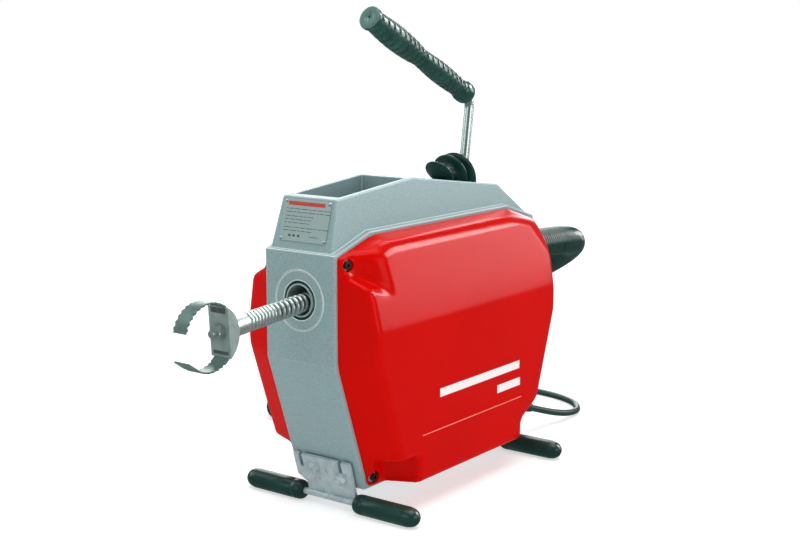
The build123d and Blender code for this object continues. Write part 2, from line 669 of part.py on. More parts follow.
def build_feet():
    grip = foot_grip()
    bar = rod_x(FOOT_ROD_R, -FOOT_GRIP_X[1] + 12, FOOT_GRIP_X[1] - 12, *FOOT_ROD)
    groups = {
        "foot_plates": [foot_plate()],
        "foot_bars": [bar],
        "foot_grips": [grip, mirror(grip, Plane.YZ)],
        "foot_fasteners": foot_fasteners(),
    }
    for name, pieces in groups.items():
        save(name, Compound(children=pieces + [rear(piece) for piece in pieces]))


# --------------------------------------------------------------- switch, plate, seals
SWITCH_UP = 100.0            # up the rear panel from its foot
PANEL_HALF = 26.0


def on_rear_panel(shape):
    return rear(on_front_panel(shape))


def build_switch():
    body = Pos(0, SWITCH_UP, 9) * Box(2 * PANEL_HALF, 62, 18)
    body = round_edges(body, body.edges().filter_by(Axis.Z), 6)
    save("switch_box", on_rear_panel(body - Pos(0, SWITCH_UP, 18) * Cylinder(5.3, 12)))
    knob = Pos(0, SWITCH_UP, 18.3 + 5) * (Cylinder(17, 10) + Pos(0, 0, 9) * Box(8, 32, 9))
    knob = knob + Pos(0, SWITCH_UP, 15.8) * Cylinder(5, 5)
    save("switch_knob", on_rear_panel(knob))


def build_details():
    normal = Vector(0, -56.5, 16)
    place = Plane(origin=(0, 11.3, 306.75), x_dir=(1, 0, 0), z_dir=normal)
    plate = place * Pos(0, 2.8, 0.6) * Box(67, 47, 1.2)
    rivets = []
    for x in (-31, 31):
        for y in (-18.2, 23.8):
            rivets.append(place * Pos(x, y, 1.2) * Cylinder(1.9, 1.4, align=FOOT))
    save("nameplate", plate)
    save("nameplate_rivets", Compound(children=rivets))
    seal = ring_y(22.3, SPINDLE_NOSE_R + GAP, 1.5, 10)
    save("spindle_seals", Compound(children=[seal, rear(seal)]))
    socket = ring_y(32, SPINDLE_BORE_R, FRAME_LENGTH + 1, FRAME_LENGTH + 7)
    socket = socket + ring_y(25, 17.5, FRAME_LENGTH + 7, REAR_Y)
    socket = socket + ring_y(32, 22.6, FRAME_LENGTH, FRAME_LENGTH + 1)
    socket = socket - rod_y(HOSE_R, REAR_Y - 4, REAR_Y + 1)
    clamp = (REAR_Y - 16, REAR_Y - 6)
    band = ring_y(27.2, 25, *clamp) + block((-6, 6), clamp, (SPINDLE_Z + 26.5, SPINDLE_Z + 35))
    save("hose_socket", Compound(children=[socket, band]))


# ------------------------------------------------------------------ hose, lead, plug
def route_radii(points):
    """The arc's radius at each corner: 0.45 of the shorter run over tan(half the turn)."""
    radii = []
    for before, here, after in zip(points, points[1:], points[2:]):
        first, second = Vector(*here) - Vector(*before), Vector(*after) - Vector(*here)
        turn = first.get_angle(second)
        radii.append(0.45 * min(first.length, second.length) / tan(radians(turn) / 2))
    return radii


def route_tube(points, radius):
    """A tube of straight runs joined by tangent arcs."""
    radii = route_radii(points)
    path = FilletPolyline(*points, radius=radii)
    first = Vector(*points[1]) - Vector(*points[0])
    tube = sweep(Plane(origin=points[0], z_dir=first) * Circle(radius), path=path)
    ratio = tube.volume / (pi * radius ** 2 * path.length)
    print("radii", [round(r) for r in radii])
    print("length", round(path.length), "volume ratio", round(ratio, 4))
    return tube


def build_hose():
    start = (0, REAR_Y - 4, SPINDLE_Z)
    save("guide_hose", route_tube([start] + HOSE_ROUTE[1:], HOSE_R))
    end, before = Vector(*HOSE_ROUTE[-1]), Vector(*HOSE_ROUTE[-2])
    cuff = Plane(origin=end, z_dir=end - before) * Pos(0, 0, 16)
    save("hose_end_cuff", cuff * (Cylinder(HOSE_R, 32) - Cylinder(SPINDLE_BORE_R, 40)))


RELIEF_LENGTH = 46.0


def build_mains_lead():
    save("mains_cord", route_tube(CORD_ROUTE, CORD_R))
    start, after = Vector(*CORD_ROUTE[0]), Vector(*CORD_ROUTE[1])
    out = (after - start).normalized()
    base = start - out * RELIEF_LENGTH
    cone = Plane(origin=(start + base) / 2, z_dir=out) * Cone(9, CORD_R + 1.4, RELIEF_LENGTH)
    panel = on_rear_panel(Pos(0, 80, -50) * Box(90, 300, 100))
    save("strain_relief", cone - panel)
    gland = Plane(origin=base, z_dir=out) * Cylinder(13, 26)
    save("cord_gland", gland - panel - cone)
    width = COIL_TURNS_WIDE * 2 * CORD_R
    centre = Pos(*COIL_CENTRE, FLOOR_Z + width / 2)
    coil = centre * (Cylinder(COIL_R + width / 2, width) - Cylinder(COIL_R - width / 2, width + 2))
    save("cord_coil", round_edges(coil, coil.edges(), 4))
    build_plug()


PLUG_PLACE = (-151.6, 470, FLOOR_Z + 19)
PLUG_YAW = 265.0
PLUG_LENGTH = 34.0
PIN_SPACING = 19.0
PIN_R = 2.4
PIN_LENGTH = 19.0


def build_plug():
    """A moulded earthed plug with two round pins, lying beside the coil."""
    body = Cylinder(19, PLUG_LENGTH, align=FOOT)
    body = round_edges(body, body.edges(), 3)
    neck = Pos(0, 0, -30) * Cone(6, 11, 32, align=FOOT)
    pins = []
    for x in (-PIN_SPACING / 2, PIN_SPACING / 2):
        pins.append(Pos(x, 0, PLUG_LENGTH) * Cylinder(PIN_R, PIN_LENGTH, align=FOOT))
    place = Pos(*PLUG_PLACE) * Rot(0, 0, PLUG_YAW) * Rot(0, 90, 0) * Rot(0, 0, 90)
    save("plug", place * (body + neck))
    save("plug_pins", place * Compound(children=pins))


def main():
    save("frame", frame())
    build_covers()
    build_bearings()
    build_spindle()
    build_jaws()
    build_clutch()
    build_belt_drive()
    build_motor()
    build_lever()
    build_bellows()
    build_spiral()
    build_feet()
    build_switch()
    build_details()
    build_hose()
    build_mains_lead()


main()
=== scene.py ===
import json
import math
import bmesh
import bpy
import numpy as np
from mathutils import Matrix, Vector


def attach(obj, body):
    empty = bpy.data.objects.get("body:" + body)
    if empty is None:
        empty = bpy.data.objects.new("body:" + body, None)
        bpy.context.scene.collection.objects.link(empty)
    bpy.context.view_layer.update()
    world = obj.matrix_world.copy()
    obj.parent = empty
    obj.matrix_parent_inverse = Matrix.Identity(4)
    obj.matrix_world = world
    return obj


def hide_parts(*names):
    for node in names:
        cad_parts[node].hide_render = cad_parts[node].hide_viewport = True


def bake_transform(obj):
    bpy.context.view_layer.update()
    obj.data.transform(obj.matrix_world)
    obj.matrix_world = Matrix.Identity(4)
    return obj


# Sectional drain cleaning machine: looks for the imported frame.  Metres, +Z up, origin on
# the floor under the middle of the machine, the cutter towards -Y.

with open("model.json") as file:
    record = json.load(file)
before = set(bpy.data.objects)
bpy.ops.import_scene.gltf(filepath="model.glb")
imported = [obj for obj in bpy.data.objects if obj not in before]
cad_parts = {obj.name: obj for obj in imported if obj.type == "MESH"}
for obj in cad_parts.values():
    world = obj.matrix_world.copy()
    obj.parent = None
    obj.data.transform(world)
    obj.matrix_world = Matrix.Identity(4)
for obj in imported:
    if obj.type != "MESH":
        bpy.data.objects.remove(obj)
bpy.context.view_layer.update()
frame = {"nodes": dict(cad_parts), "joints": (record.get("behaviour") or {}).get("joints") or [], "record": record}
nodes = frame["nodes"]
joints = {joint["name"]: joint for joint in frame["joints"]}

MM = 0.001
ORIGIN = Vector((0.0, -0.12625, 0.0293))     # the front panel's foot in the row frame
REAR = 410.0                                 # the rear panel, in millimetres behind the front one


def at(x, y, z):
    """A point from millimetres measured off the front panel and the frame's underside."""
    return ORIGIN + Vector((x, y, z)) * MM


# ------------------------------------------------------------------ camera, light, floor
def make_camera():
    """The photograph's viewing angle."""
    camera = bpy.data.objects.new("camera", bpy.data.cameras.new("camera"))
    bpy.context.scene.collection.objects.link(camera)
    camera.data.lens = 62.74
    camera.data.clip_end = 50.0
    camera.location = at(988.25, -1141.94, 525.72)
    camera.rotation_euler = (math.radians(90 - 10.53), 0.0, math.radians(36.67))
    bpy.context.scene.camera = camera


def area_light(name, place, target, size, power, gloss_only=False):
    """A soft box that faces a target; a gloss_only one shows in gloss and lights nothing matt."""
    light = bpy.data.lights.new(name, "AREA")
    light.shape = "RECTANGLE"
    light.size, light.size_y = size
    light.energy = power
    lamp = bpy.data.objects.new(name, light)
    bpy.context.scene.collection.objects.link(lamp)
    lamp.location = place
    lamp.rotation_euler = (Vector(target) - Vector(place)).to_track_quat("-Z", "Y").to_euler()
    lamp.visible_diffuse = not gloss_only
    lamp.visible_camera = False


def make_world():
    """White where the camera looks past the machine, a soft grey dome for everything else."""
    world = bpy.data.worlds.new("studio")
    bpy.context.scene.world = world
    world.use_nodes = True
    tree = world.node_tree
    tree.nodes.clear()
    output = tree.nodes.new("ShaderNodeOutputWorld")
    dome = tree.nodes.new("ShaderNodeBackground")
    backdrop = tree.nodes.new("ShaderNodeBackground")
    path = tree.nodes.new("ShaderNodeLightPath")
    choose = tree.nodes.new("ShaderNodeMixShader")
    dome.inputs["Color"].default_value = (0.55, 0.60, 0.60, 1)
    dome.inputs["Strength"].default_value = 0.4
    backdrop.inputs["Color"].default_value = (1, 1, 1, 1)
    tree.links.new(path.outputs["Is Camera Ray"], choose.inputs[0])
    tree.links.new(dome.outputs[0], choose.inputs[1])
    tree.links.new(backdrop.outputs[0], choose.inputs[2])
    tree.links.new(choose.outputs[0], output.inputs[0])


def make_lights():
    """Soft boxes over and round the machine; the four behind it only make its gloss."""
    make_world()
    aim = (0, 0, 0.2)
    area_light("top", (0.2, 0.0, 2.4), aim, (2.2, 2.2), 60)
    area_light("back_low", (1.9, 2.9, 0.80), (0.1, 0.1, 0.5), (1.5, 0.95), 28, True)
    area_light("back_high", (1.9, 2.9, 2.05), (0.1, 0.1, 0.45), (1.5, 1.3), 150, True)
    area_light("behind", (-2.0, 2.9, 1.0), (0.0, 0.1, 0.3), (2.6, 1.1), 34, True)
    area_light("sky", (-1.4, 2.2, 2.7), (0.0, 0.1, 0.3), (2.4, 1.8), 90, True)
    area_light("right", (2.6, 0.1, 0.8), (0.0, 0.1, 0.2), (1.6, 1.4), 18)
    area_light("front", (-0.5, -2.6, 1.1), aim, (1.6, 1.4), 10)
    area_light("left", (-2.4, -0.6, 1.3), aim, (1.6, 1.6), 18)


def make_floor():
    """A pale floor that brightens away from the machine, so that it meets the backdrop unseen."""
    mesh = bpy.data.meshes.new("floor")
    reach = 14.0
    corners = [(-reach, -reach, 0), (reach, -reach, 0), (reach, reach, 0), (-reach, reach, 0)]
    mesh.from_pydata(corners, [], [(0, 1, 2, 3)])
    floor = bpy.data.objects.new("floor", mesh)
    bpy.context.scene.collection.objects.link(floor)
    floor.location.z = -0.0002
    floor.visible_glossy = False
    surface = bpy.data.materials.new("floor")
    surface.use_nodes = True
    tree = surface.node_tree
    shader = tree.nodes["Principled BSDF"]
    shader.inputs["Base Color"].default_value = (0.62, 0.63, 0.63, 1)
    shader.inputs["Roughness"].default_value = 0.9
    shader.inputs["Specular IOR Level"].default_value = 0.1
    shader.inputs["Emission Color"].default_value = (1, 1, 1, 1)
    place = tree.nodes.new("ShaderNodeTexCoord")
    length = tree.nodes.new("ShaderNodeVectorMath")
    length.operation = "LENGTH"
    fade = tree.nodes.new("ShaderNodeMapRange")
    fade.interpolation_type = "SMOOTHSTEP"
    fade.inputs["From Min"].default_value = 0.45
    fade.inputs["From Max"].default_value = 3.2
    fade.inputs["To Min"].default_value = 0.56
    fade.inputs["To Max"].default_value = 0.95
    tree.links.new(place.outputs["Object"], length.inputs[0])
    tree.links.new(length.outputs["Value"], fade.inputs["Value"])
    tree.links.new(fade.outputs[0], shader.inputs["Emission Strength"])
    mesh.materials.append(surface)


# ----------------------------------------------------------------------------- materials
class Finish:
    """A Principled material with helpers that add grain, tone changes and painted edge highlights."""

    def __init__(self, name, colour, roughness, metallic=0.0, **sockets):
        self.material = bpy.data.materials.new(name)
        self.material.use_nodes = True
        self.tree = self.material.node_tree
        self.shader = self.tree.nodes["Principled BSDF"]
        self.colour = (*colour, 1)
        self.shader.inputs["Base Color"].default_value = self.colour
        self.shader.inputs["Roughness"].default_value = roughness
        self.shader.inputs["Metallic"].default_value = metallic
        self.roughness = roughness
        self.height = None
        for key, value in sockets.items():
            self.shader.inputs[key.replace("_", " ")].default_value = value
        self.place = self.tree.nodes.new("ShaderNodeTexCoord").outputs["Object"]

    def node(self, kind, **settings):
        """A new shader node with these settings."""
        made = self.tree.nodes.new(kind)
        for key, value in settings.items():
            setattr(made, key, value)
        return made

    def link(self, source, target):
        self.tree.links.new(source, target)

    def noise(self, scale, detail, stretch=(1, 1, 1)):
        """Noise fixed to the object, finer along an axis with a larger stretch."""
        mapping = self.node("ShaderNodeMapping")
        mapping.inputs["Scale"].default_value = stretch
        texture = self.node("ShaderNodeTexNoise")
        texture.inputs["Scale"].default_value = scale
        texture.inputs["Detail"].default_value = detail
        self.link(self.place, mapping.inputs[0])
        self.link(mapping.outputs[0], texture.inputs["Vector"])
        return texture.outputs["Fac"]

    def ramp(self, source, low, high):
        """One colour that turns into another over the middle of a value's range."""
        made = self.node("ShaderNodeValToRGB")
        for element, colour, position in zip(made.color_ramp.elements, (low, high), (0.35, 0.65)):
            element.color = (*colour, 1)
            element.position = position
        self.link(source, made.inputs[0])
        return made.outputs[0]

    def tones(self, scale, darker, lighter, detail=4.0, stretch=(1, 1, 1)):
        """Colour that wanders between a darker and a lighter share of the base colour."""
        low = [c * darker for c in self.colour[:3]]
        high = [min(1.0, c * lighter) for c in self.colour[:3]]
        tone = self.ramp(self.noise(scale, detail, stretch), low, high)
        self.link(tone, self.shader.inputs["Base Color"])
        return self

    def painted_edge_highlights(self, radius, colour, share):
        """Painted highlight: a lighter colour along edges, where a rounded normal leaves the face's own."""
        rounded = self.node("ShaderNodeBevel", samples=6)
        rounded.inputs["Radius"].default_value = radius
        own = self.node("ShaderNodeNewGeometry")
        across = self.node("ShaderNodeVectorMath", operation="DOT_PRODUCT")
        self.link(rounded.outputs[0], across.inputs[0])
        self.link(own.outputs["Normal"], across.inputs[1])
        highlight = self.node("ShaderNodeMapRange")
        highlight.inputs["From Min"].default_value = 0.985
        highlight.inputs["From Max"].default_value = 0.90
        highlight.inputs["To Max"].default_value = share
        self.link(across.outputs["Value"], highlight.inputs["Value"])
        mixed = self.node("ShaderNodeMix", data_type="RGBA")
        socket = self.shader.inputs["Base Color"]
        self.link(highlight.outputs[0], mixed.inputs[0])
        self.link(socket.links[0].from_socket, mixed.inputs[6])
        mixed.inputs[7].default_value = (*colour, 1)
        self.link(mixed.outputs[2], socket)
        return self

    def polish(self, scale, spread):
        """Roughness that wanders by spread either side."""
        made = self.node("ShaderNodeMapRange")
        made.inputs["To Min"].default_value = max(0.02, self.roughness - spread)
        made.inputs["To Max"].default_value = min(1.0, self.roughness + spread)
        self.link(self.noise(scale, 3.0), made.inputs["Value"])
        self.link(made.outputs[0], self.shader.inputs["Roughness"])
        return self

    def bump(self, scale, strength, distance, detail=3.0, stretch=(1, 1, 1)):
        """Fine relief, on top of any that is there already."""
        made = self.node("ShaderNodeBump")
        made.inputs["Strength"].default_value = strength
        made.inputs["Distance"].default_value = distance
        self.link(self.noise(scale, detail, stretch), made.inputs["Height"])
        if self.height is not None:
            self.link(self.height, made.inputs["Normal"])
        self.height = made.outputs[0]
        self.link(self.height, self.shader.inputs["Normal"])
        return self


finishes = {}


def finish(name, colour, roughness, metallic=0.0, **sockets):
    """A new finish, kept by the name of its record slot or of its piece."""
    finishes[name] = Finish(name, colour, roughness, metallic, **sockets)
    return finishes[name]


def make_paints():
    """Paint and moulded shells."""
    made = finish("grey_paint", (0.245, 0.345, 0.355), 0.44, 0.05, Specular_IOR_Level=0.24)
    # near-white painted highlight along the frame's rounded edges
    made.tones(900, 0.86, 1.14, 2.0).painted_edge_highlights(0.0026, (0.86, 0.93, 0.93), 1.0)
    made.polish(60, 0.06).bump(1100, 0.22, 0.0002).bump(260, 0.06, 0.0003)
    made = finish("red_shell", (0.56, 0.0016, 0.0002), 0.17, 0.0, Specular_IOR_Level=0.065)
    made.tones(6, 0.96, 1.04).polish(40, 0.025).bump(620, 0.16, 0.0003)
    made = finish("moulded_line", (0.80, 0.16, 0.12), 0.3)
    made.tones(60, 0.95, 1.04)


def make_steels():
    """Steels, from polished to blackened."""
    made = finish("chrome_steel", (0.46, 0.55, 0.53), 0.27, 1.0)
    made.tones(30, 0.93, 1.0).polish(90, 0.05).bump(300, 0.02, 0.0001)
    made = finish("spring_steel", (0.50, 0.58, 0.56), 0.32, 0.9)
    made.tones(120, 0.85, 1.12).polish(200, 0.09).bump(900, 0.15, 0.0002)
    made = finish("bright_steel", (0.42, 0.48, 0.47), 0.34, 0.85)
    made.tones(50, 0.85, 1.08).polish(150, 0.08).bump(700, 0.08, 0.0002)
    made = finish("zinc_steel", (0.60, 0.70, 0.73), 0.30, 0.5)
    made.tones(90, 0.86, 1.08, 6.0).polish(160, 0.08).bump(500, 0.12, 0.0002)
    made = finish("black_steel", (0.035, 0.045, 0.042), 0.34, 0.8)
    made.tones(200, 0.7, 1.6).polish(200, 0.08).bump(800, 0.1, 0.0002)
    made = finish("blade_steel", (0.11, 0.185, 0.17), 0.36, 0.4)
    made.tones(70, 0.72, 1.12, 7.0).polish(120, 0.1).bump(500, 0.25, 0.0003)
    made = finish("satin_steel", (0.34, 0.44, 0.42), 0.5, 0.3)
    made.tones(80, 0.9, 1.1).polish(120, 0.08).bump(500, 0.1, 0.0002)
    made = finish("head_steel", (0.33, 0.42, 0.40), 0.40, 0.5)
    made.tones(80, 0.85, 1.12, 6.0).polish(120, 0.1).bump(500, 0.2, 0.0003)


def make_other_metals():
    """The plate, castings, windings and plug pins."""
    made = finish("plate", (0.36, 0.47, 0.46), 0.35, 0.5)
    made.tones(400, 0.92, 1.05, 3.0, (1, 12, 12)).polish(200, 0.06).bump(900, 0.06, 0.0001)
    made = finish("cast_iron", (0.10, 0.10, 0.10), 0.55, 0.8)
    made.tones(60, 0.7, 1.3).bump(500, 0.4, 0.0004)
    made = finish("cast_aluminium", (0.55, 0.56, 0.57), 0.45, 0.9)
    made.tones(60, 0.85, 1.1).bump(700, 0.3, 0.0003)
    made = finish("copper_windings", (0.55, 0.25, 0.10), 0.4, 0.9)
    made.tones(150, 0.7, 1.2).bump(600, 0.5, 0.0005, 2.0, (1, 6, 1))
    made = finish("brass_pins", (0.72, 0.66, 0.52), 0.25, 1.0)
    made.tones(120, 0.85, 1.1).polish(200, 0.06)


def make_rubbers():
    """Rubber and plastic."""
    made = finish("black_rubber", (0.004, 0.036, 0.028), 0.30, Specular_IOR_Level=0.35)
    made.tones(40, 0.8, 1.35).polish(90, 0.07).bump(1200, 0.2, 0.0002)
    made = finish("grip_rubber", (0.007, 0.055, 0.043), 0.24, Specular_IOR_Level=0.5)
    made.tones(50, 0.8, 1.25).polish(90, 0.07).bump(1200, 0.2, 0.0002)
    made = finish("grip_end", (0.075, 0.15, 0.13), 0.45, Specular_IOR_Level=0.35)
    made.tones(900, 0.7, 1.3, 2.0).polish(90, 0.07).bump(1500, 0.3, 0.0002)
    made = finish("black_plastic", (0.003, 0.030, 0.023), 0.20, Specular_IOR_Level=0.6)
    made.tones(40, 0.85, 1.3).polish(120, 0.06).bump(1000, 0.12, 0.0002)
    made = finish("grey_plastic", (0.07, 0.08, 0.08), 0.45)
    made.tones(30, 0.9, 1.15).polish(120, 0.05).bump(1300, 0.2, 0.0002)


def make_inks():
    """The colours of the generic print; the dark one also paints the shade in the cutter head's slots."""
    made = finish("print_dark", (0.05, 0.08, 0.08), 0.5)
    made.tones(300, 0.8, 1.3)
    made = finish("print_red", (0.45, 0.03, 0.02), 0.5)
    made.tones(300, 0.85, 1.15)
    made = finish("print_white", (0.86, 0.84, 0.82), 0.4)
    made.tones(300, 0.94, 1.03).bump(900, 0.15, 0.0002)


def paint_frame():
    """Give every CAD node the finish of its record slot, but for three steels of their own tone."""
    looks = {entry["node"]: entry["material_slot"] for entry in frame["record"]["subparts"]}
    looks |= {"cutter_head": "head_steel", "spindle": "satin_steel", "cutter_bolt": "spring_steel"}
    for node, look in looks.items():
        materials = nodes[node].data.materials
        materials.clear()
        materials.append(finishes[look].material)


# ------------------------------------------------------------------------- mesh building
def add_piece(name, shape, look, body, replaced=(), smooth=True):
    """An object from a mesh or a curve, riding on a body in place of the CAD nodes replaced."""
    piece = bpy.data.objects.new(name, shape)
    bpy.context.scene.collection.objects.link(piece)
    shape.materials.append(finishes[look].material)
    if smooth:
        shape.shade_smooth()
    if body:
        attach(piece, body)
    if replaced:
        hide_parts(*replaced)
    return piece


def skin(name, rings, closed_ends=True):
    """A mesh through rings of points, each with as many points as the next."""
    count = len(rings[0])
    points = [point for row in rings for point in row]
    faces = []
    for low in range(len(rings) - 1):
        for index in range(count):
            after = (index + 1) % count
            a, b = low * count, (low + 1) * count
            faces.append((a + index, a + after, b + after, b + index))
    if closed_ends:
        faces.append(tuple(reversed(range(count))))
        faces.append(tuple(range(len(points) - count, len(points))))
    mesh = bpy.data.meshes.new(name)
    mesh.from_pydata(points, [], faces)
    form = bmesh.new()
    form.from_mesh(mesh)
    bmesh.ops.recalc_face_normals(form, faces=form.faces)
    form.to_mesh(mesh)
    form.free()
    return mesh


def frame_across(direction):
    """Two unit vectors across a direction, the first as level as can be."""
    direction = Vector(direction).normalized()
    level = Vector((0, 0, 1)).cross(direction)
    if level.length < 1e-4:
        level = Vector((1, 0, 0))
    level.normalize()
    return level, direction.cross(level)


def ring(centre, direction, radius, count):
    """Points round a centre, in the plane across a direction."""
    u, v = frame_across(direction)
    points = []
    for index in range(count):
        angle = math.tau * index / count
        points.append(centre + (u * math.cos(angle) + v * math.sin(angle)) * radius)
    return points


def lathe(name, origin, direction, profile, count):
    """Turn (distance, radius) pairs about a line."""
    direction = Vector(direction).normalized()
    rings = [ring(origin + direction * d, direction, r, count) for d, r in profile]
    return skin(name, rings)


def nurbs(name, points, resolution):
    """A smooth open NURBS curve with these control points."""
    curve = bpy.data.curves.new(name, "CURVE")
    curve.dimensions = "3D"
    curve.resolution_u = resolution
    spline = curve.splines.new("NURBS")
    spline.points.add(len(points) - 1)
    for control, point in zip(spline.points, points):
        control.co = (*point, 1.0)
    spline.order_u = 3
    spline.use_endpoint_u = True
    return curve


def thicken(curve, radius, bevel_steps):
    """Turn a curve into a solid wire."""
    curve.bevel_depth = radius
    curve.bevel_resolution = bevel_steps
    curve.use_fill_caps = True


def line_of(curve):
    """The points along a NURBS curve."""
    holder = bpy.data.objects.new("line", curve)
    bpy.context.scene.collection.objects.link(holder)
    mesh = bpy.data.meshes.new_from_object(holder)
    points = [vertex.co.copy() for vertex in mesh.vertices]
    bpy.data.objects.remove(holder)
    bpy.data.meshes.remove(mesh)
    return points


def length_of(line):
    """The length of a line of points."""
    return sum((b - a).length for a, b in zip(line, line[1:]))


def walk(points, step):
    """Points and directions at equal steps along a line of points."""
    places, left = [], 0.0
    for start, end in zip(points, points[1:]):
        run = (end - start).length
        while left <= run and run > 0:
            places.append((start.lerp(end, left / run), (end - start).normalized()))
            left += step
        left -= run
    return places


def along_line(name, places, radius_at, count):
    """A tube through (place, direction) pairs that doesn't twist."""
    u = frame_across(places[0][1])[0]
    rings = []
    for index, (centre, direction) in enumerate(places):
        u = (u - direction * u.dot(direction)).normalized()
        v = direction.cross(u)
        r = radius_at(index)
        angles = [math.tau * step / count for step in range(count)]
        rings.append([centre + (u * math.cos(a) + v * math.sin(a)) * r for a in angles])
    return skin(name, rings)


def soften(piece, width):
    """Round a piece's hard edges a little."""
    bevel = piece.modifiers.new("edges", "BEVEL")
    bevel.width = width
    bevel.segments = 2
    bevel.limit_method = "ANGLE"
    bevel.angle_limit = math.radians(40)
    bevel.harden_normals = False


# --------------------------------------------------------------------- hose and the lead
HOSE_ROUTE = [
    at(0, 440, 222.9), at(0, 508, 222.9), at(-7, 603, 216), at(-48, 689, 194), at(-116, 749, 157),
    at(-200, 773, 113), at(-285, 756, 67), at(-356, 702, 27), at(-402, 620, 2), at(-414, 523, -8.8),
    at(-389, 437, -8.8), at(-348, 369, -8.8), at(-300, 307, -8.8),
]
CUFF_SHIFT = Vector((8 * MM, 0, 0))      # the route's last points lie this far from the CAD's
HOSE_R = 20.5 * MM
RIB_PITCH = 5.4 * MM
RIB_DEPTH = 1.9 * MM
RINGS_PER_RIB = 6

CORD_ROUTE = [
    at(35, 434, 8.5), at(36, 462, -1), at(38, 497, -12.5), at(40, 532, -21), at(36, 566, -24.8),
    at(16, 594, -24.8), at(-16, 611, -24.8), at(-50, 618, -24.8), at(-84, 620, -24.8),
    at(-116, 612, -24.8), at(-140, 592, -24.8), at(-150, 565, -24.8),
]
CORD_R = 4.5 * MM
COIL_CENTRE = at(-205, 545, 0)
COIL_R = 50 * MM
POINTS_PER_TURN = 16
LAP_HALF = 0.3                           # half of the share of a turn that climbs a layer
PLUG_NECK = at(-149.0, 499.9, -10.3)
PLUG_BEHIND = Vector((0.087, 0.996, 0))  # from the plug's neck back along the lead


def hose_radius(index):
    """The ribbed hose's radius at a ring, with wide crests and narrow grooves."""
    crest = 0.5 + 0.5 * math.cos(math.tau * index / RINGS_PER_RIB)
    return HOSE_R - RIB_DEPTH * (1 - crest ** 0.6)


def make_hose_end():
    """The CAD's end cuff, moved to where the hose's route ends."""
    mesh = nodes["hose_end_cuff"].data.copy()
    mesh.transform(Matrix.Translation(CUFF_SHIFT) @ nodes["hose_end_cuff"].matrix_world)
    mesh.materials.clear()
    cuff = add_piece("hose_end_sleeve", mesh, "black_plastic", "root", ["hose_end_cuff"], False)
    return cuff


def make_hose():
    """The guide hose, as one ribbed tube along its route."""
    line = line_of(nurbs("hose_line", HOSE_ROUTE, 24))
    cuff = make_hose_end()
    mesh = along_line("guide_hose_skin", walk(line, RIB_PITCH / RINGS_PER_RIB), hose_radius, 36)
    hose = add_piece("guide_hose_skin", mesh, "black_plastic", "root", ["guide_hose"])


def climb(turn, middle):
    """How far the lead has climbed onto the next layer, where it does so round a middle turn."""
    return min(1.0, max(0.0, (turn - middle + LAP_HALF) / (2 * LAP_HALF)))


def coil_points():
    """Seven turns: in along the floor, out over them, and once round on top."""
    first, last = math.radians(20), math.radians(-5)
    turns = 7 + (first - last) / math.tau
    count = round(turns * POINTS_PER_TURN)
    widen = 1 / math.cos(math.pi / POINTS_PER_TURN) ** 0.75
    points = []
    for index in range(1, count + 1):
        turn = turns * index / count
        angle = first - math.tau * turn
        out = abs(turn - 3.0) if turn < 6.0 else 3.0
        radius = COIL_R + (min(out, 2.5) - 1.25) / 1.25 * 2 * CORD_R
        height = (1 + 2 * (climb(turn, 3.0) + climb(turn, 6.0))) * CORD_R
        place = Vector((math.cos(angle), math.sin(angle), 0)) * radius * widen
        points.append(Vector((COIL_CENTRE.x, COIL_CENTRE.y, height)) + place)
    return points


def make_lead():
    """The mains lead, from the gland through its coil to the plug."""
    points = CORD_ROUTE + coil_points() + [PLUG_NECK + PLUG_BEHIND * 0.014, PLUG_NECK]
    curve = nurbs("mains_lead", points, 6)
    thicken(curve, CORD_R, 5)
    lead = add_piece("mains_lead", curve, "black_rubber", "root", ["mains_cord", "cord_coil"], False)
    length = length_of(line_of(nurbs("lead_line", points, 6)))


# ------------------------------------------------------------------------- side covers
# the right cover's faces in groups: (how softly a group meets the others, how softly its own
# faces meet, [(a point in mm, the outward normal)])
COVER_TOP = [((77, 0, 283), (0.332, 0, 0.943)), ((50, 4.5, 274), (0.30, -0.274, 0.914))]
COVER_FRONT = [((50, 4.5, 200), (0.297, -0.955, 0)), ((50, 4.5, 153), (0.3325, -0.890, -0.311))]
COVER_REAR_TOP = [
    ((50, REAR - 4.5, 274), (0.65, 0.5, 0.573)), ((50, REAR - 4.5, 274), (0.30, 0.274, 0.914)),
]
COVER_GROUPS = [
    (0.0, 1.2, [((96, 0, 0), (1, 0, 0)), ((95, 0, 194.5), (0.98, 0, 0.199))]),
    (12.0, 4.0, COVER_TOP),
    (9.0, 1.0, [((50, 0, 4.5), (0, 0, -1))]),
    (8.0, 3.0, COVER_FRONT),
    (6.0, 2.0, [((x, REAR - y, z), (a, -b, c)) for (x, y, z), (a, b, c) in COVER_FRONT]),
    (12.0, 1.0, COVER_REAR_TOP),
]
# recesses round the screws: (how softly a face meets the ones before it, (a point, the normal
# into the recess)), and a flat pad for the screw comes first
SCREW_PAD = (0.0, ((57.5, 0, 0), (-1, 0, 0)))
UPPER_RECESS = [
    SCREW_PAD, (1.5, ((57.5, 20, 0), (-0.8, 0.6, 0))),
    (14.0, ((80, 50, 0), (-0.489, 0.872, 0))), (9.0, ((60, 7, 254), (-0.35, -0.196, -0.917))),
]
LOWER_RECESS = [
    SCREW_PAD, (5.0, ((58, 79, 0), (-0.41, 0.91, 0))), (8.0, ((58, 54, 36), (-0.07, 0, 1))),
]
REAR_RECESS = [
    SCREW_PAD, (5.0, ((58, REAR - 79, 0), (-0.41, -0.91, 0))),
    (8.0, ((58, REAR - 68, 45), (0, -0.55, 1))),
]
